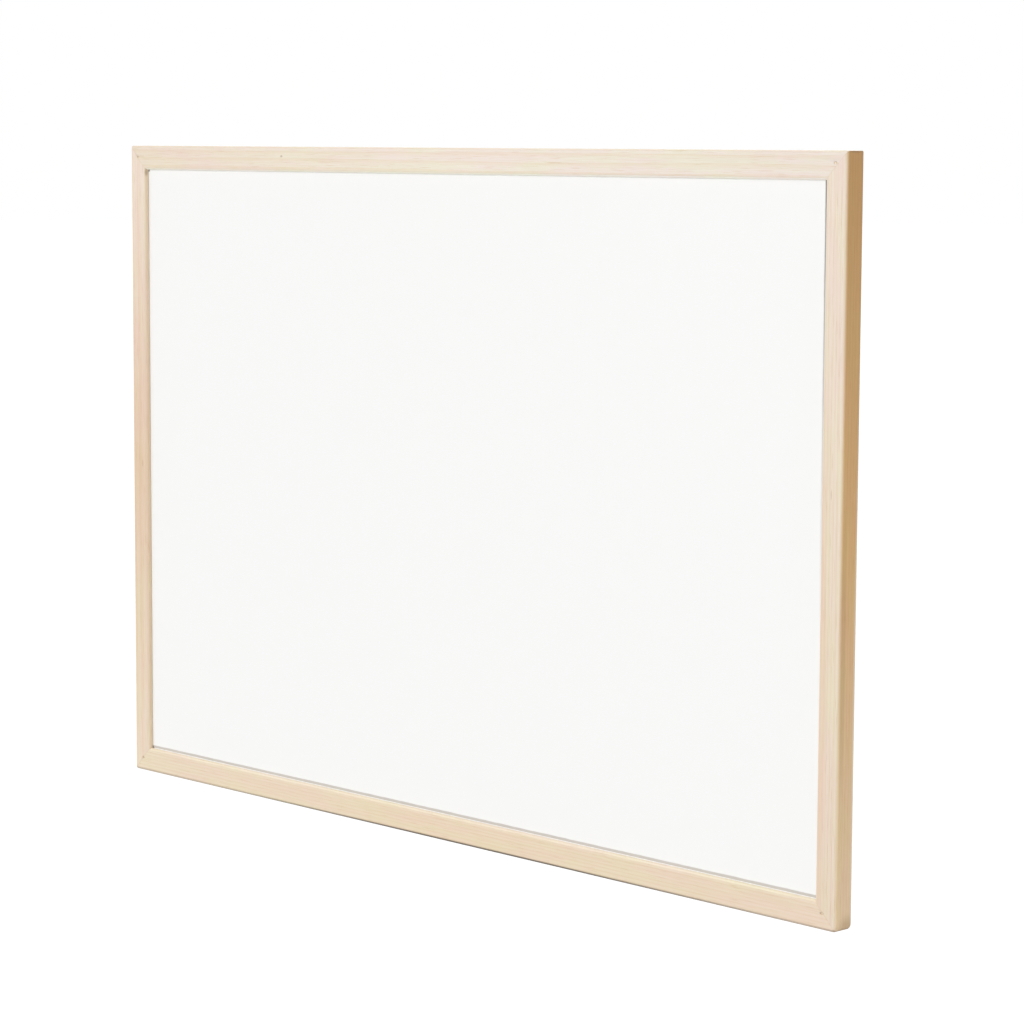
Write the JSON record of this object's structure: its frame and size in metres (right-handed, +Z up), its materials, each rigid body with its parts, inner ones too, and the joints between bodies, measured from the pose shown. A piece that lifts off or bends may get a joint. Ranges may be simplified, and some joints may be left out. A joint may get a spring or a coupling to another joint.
{
  "type": "whiteboard",
  "caption": "Wall-hung whiteboard: a flat white lacquered sheet in a mitred pale softwood frame, with swinging D-ring hangers and rubber wall pads on the back.",
  "frame": {"origin": "on the wall plane, midway between the two hooks that the hanger rings go over", "axes": "+X to the right as seen from the front, +Y into the wall (the writing surface faces -Y), +Z up"},
  "size_m": [0.9, 0.0235, 0.6],
  "materials": {
    "frame_wood": "pale straight-grained softwood, finely sanded, clear matt sealer",
    "writing_lacquer": "smooth white baked lacquer on steel sheet",
    "core_fibreboard": "raw fibreboard",
    "back_hardboard": "brown hardboard with a screen-pressed back",
    "pin_steel": "dull bronzed steel, sunk below the face",
    "fixing_steel": "plain rolled steel",
    "zinc_plate": "bright zinc-plated steel",
    "pad_rubber": "dark grey moulded rubber"
  },
  "bodies": {
    "board": {"top_rail": "frame_wood", "bottom_rail": "frame_wood", "left_stile": "frame_wood", "right_stile": "frame_wood", "writing_sheet": "writing_lacquer", "core_board": "core_fibreboard", "back_board": "back_hardboard", "corner_pin_top_left": "pin_steel", "corner_pin_top_right": "pin_steel", "corner_pin_bottom_left": "pin_steel", "corner_pin_bottom_right": "pin_steel", "v_nail_top_left_outer": "fixing_steel", "v_nail_top_left_inner": "fixing_steel", "v_nail_top_right_outer": "fixing_steel", "v_nail_top_right_inner": "fixing_steel", "v_nail_bottom_left_outer": "fixing_steel", "v_nail_bottom_left_inner": "fixing_steel", "v_nail_bottom_right_outer": "fixing_steel", "v_nail_bottom_right_inner": "fixing_steel", "retaining_point_top_1": "fixing_steel", "retaining_point_top_2": "fixing_steel", "retaining_point_top_3": "fixing_steel", "retaining_point_bottom_1": "fixing_steel", "retaining_point_bottom_2": "fixing_steel", "retaining_point_bottom_3": "fixing_steel", "retaining_point_left_1": "fixing_steel", "retaining_point_left_2": "fixing_steel", "retaining_point_right_1": "fixing_steel", "retaining_point_right_2": "fixing_steel", "hanger_strap_left": "zinc_plate", "hanger_screw_left_upper": "zinc_plate", "hanger_screw_left_lower": "zinc_plate", "hanger_strap_right": "zinc_plate", "hanger_screw_right_upper": "zinc_plate", "hanger_screw_right_lower": "zinc_plate", "wall_pad_top_left": "pad_rubber", "wall_pad_top_right": "pad_rubber", "wall_pad_bottom_left": "pad_rubber", "wall_pad_bottom_right": "pad_rubber"},
    "ring_left": {"hanger_ring_left": "zinc_plate"},
    "ring_right": {"hanger_ring_right": "zinc_plate"}
  },
  "joints": [
    {"name": "ring_left_swing", "type": "hinge", "parent": "board", "child": "ring_left", "pos_m": [-0.43775, -0.003, -0.011], "axis": [1, 0, 0], "range_deg": [0, 178]},
    {"name": "ring_right_swing", "type": "hinge", "parent": "board", "child": "ring_right", "pos_m": [0.43775, -0.003, -0.011], "axis": [1, 0, 0], "range_deg": [0, 178]}
  ]
}
